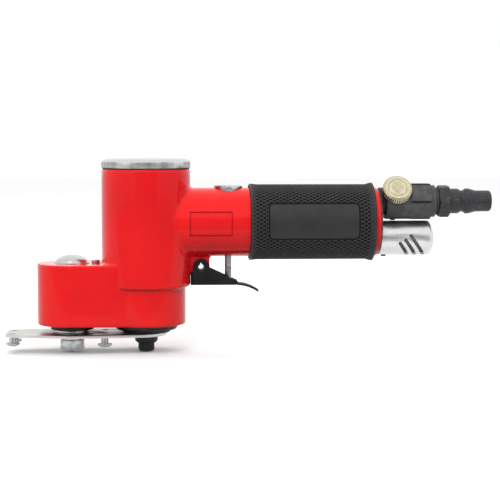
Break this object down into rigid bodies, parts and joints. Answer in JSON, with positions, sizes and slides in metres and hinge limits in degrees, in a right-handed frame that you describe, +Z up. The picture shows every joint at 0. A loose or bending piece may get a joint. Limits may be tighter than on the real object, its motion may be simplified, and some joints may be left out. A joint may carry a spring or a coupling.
{
  "type": "pneumatic orbital hand tool",
  "caption": "Air tool with an upright motor barrel, a front head, a thin orbiting carrier plate, a rubber-gripped handle, a squeeze lever and a quick-connect inlet.",
  "frame": {"origin": "middle of the tool's overall box, at the height of the drive nut's tip, its lowest point", "axes": "+Z up along the motor barrel towards its cap, +X from the front head towards the air plug, +Y to the far side of the handle"},
  "size_m": [0.276, 0.0504, 0.1093],
  "materials": {
    "red_paint": "glossy red coat on die-cast aluminium",
    "turned_aluminium": "fine turned, bright",
    "cast_aluminium": "machined, plain",
    "satin_steel": "satin pressed steel",
    "polished_plate": "polished bright sheet",
    "zinc_steel": "bright zinc plated",
    "bearing_steel": "ground and hardened",
    "motor_steel": "ground steel",
    "liner_iron": "honed",
    "vane_fibre": "laminated fibre",
    "brass": "turned and knurled",
    "black_oxide": "black oxide, oiled",
    "black_paint": "satin black coat on sheet steel",
    "grip_rubber": "moulded with a fine lattice",
    "seal_rubber": "plain moulded",
    "gasket_fibre": "pressed fibre",
    "spring_steel": "drawn wire",
    "felt": "pressed felt",
    "rear_zinc": "cream passivated sheet",
    "screen_steel": "perforated sheet"
  },
  "bodies": {
    "root": {"housing": "red_paint", "motor_cap": "turned_aluminium", "cap_gasket": "gasket_fibre", "motor_liner": "liner_iron", "upper_end_plate": "cast_aluminium", "lower_end_plate": "cast_aluminium", "liner_dowel": "motor_steel", "motor_bearing_outer_races": "bearing_steel", "head_bearing_outer_races": "bearing_steel", "head_circlip": "black_oxide", "head_dust_seal": "seal_rubber", "head_dome_cap": "satin_steel", "head_lock_screw": "black_oxide", "grip_sleeve": "grip_rubber", "valve_cap": "turned_aluminium", "valve_cap_oring": "seal_rubber", "valve_bushing": "brass", "valve_spring": "spring_steel", "stem_oring": "seal_rubber", "lever_pin": "black_oxide", "rear_plate": "rear_zinc", "inlet_bushing": "black_oxide", "inlet_screen": "screen_steel", "regulator_body": "black_oxide", "regulator_stop_screw": "black_oxide", "plug_seal_washer": "gasket_fibre", "air_plug": "black_oxide", "muffler_tube": "turned_aluminium", "muffler_felt": "felt", "muffler_set_screw": "black_oxide"},
    "motor_shaft": {"crank_shaft": "motor_steel", "rotor": "motor_steel", "rotor_vanes": "vane_fibre", "counterweight": "brass", "counterweight_screws": "black_oxide", "motor_bearing_inner_races": "bearing_steel", "motor_bearing_balls": "bearing_steel", "main_hub_inner_race": "bearing_steel", "drive_nut": "black_oxide"},
    "idler": {"idler_crank": "motor_steel", "front_bolt": "zinc_steel", "bolt_spring_washer": "zinc_steel", "bolt_bush": "zinc_steel", "front_hub_inner_race": "bearing_steel", "head_bearing_inner_races": "bearing_steel", "head_bearing_balls": "bearing_steel"},
    "carrier": {"pad_plate": "polished_plate", "main_hub": "black_oxide", "front_hub": "satin_steel", "plate_bearing_outer_races": "bearing_steel", "plate_bearing_balls": "bearing_steel", "pad_screws": "zinc_steel"},
    "lever": {"throttle_lever": "black_paint"},
    "valve": {"valve_stem": "satin_steel", "valve_head": "seal_rubber"},
    "regulator": {"regulator_knob": "brass", "regulator_spindle": "brass", "regulator_oring": "seal_rubber"}
  },
  "joints": [
    {"name": "rotor_spin", "type": "hinge", "parent": "root", "child": "motor_shaft", "pos_m": [-0.059, 0, 0.052], "axis": [0, 0, 1], "continuous": true},
    {"name": "idler_spin", "type": "hinge", "parent": "root", "child": "idler", "pos_m": [-0.101, 0, 0.03], "axis": [0, 0, 1], "continuous": true},
    {"name": "plate_orbit", "type": "hinge", "parent": "motor_shaft", "child": "carrier", "pos_m": [-0.059, 0.00125, 0.021], "axis": [0, 0, 1], "continuous": true},
    {"name": "lever_squeeze", "type": "hinge", "parent": "root", "child": "lever", "pos_m": [-0.0279, 0, 0.0481], "axis": [0, -1, 0], "range_deg": [0, 12], "stiffness_Nm_per_rad": 0.3, "springref_deg": -20.05},
    {"name": "valve_slide", "type": "slide", "parent": "root", "child": "valve", "axis": [0, 0, 1], "range_m": [0, 0.0034], "deforming": ["valve_spring"]},
    {"name": "regulator_turn", "type": "hinge", "parent": "root", "child": "regulator", "pos_m": [0.0827, 0, 0.0851], "axis": [0, -0.8192, 0.5736], "range_deg": [0, 270]}
  ],
  "couplings": [
    {"joint": "idler_spin", "follows": "rotor_spin", "ratio": 1},
    {"joint": "plate_orbit", "follows": "rotor_spin", "ratio": -1},
    {"joint": "valve_slide", "follows": "lever_squeeze", "m_per_rad": 0.0161}
  ]
}
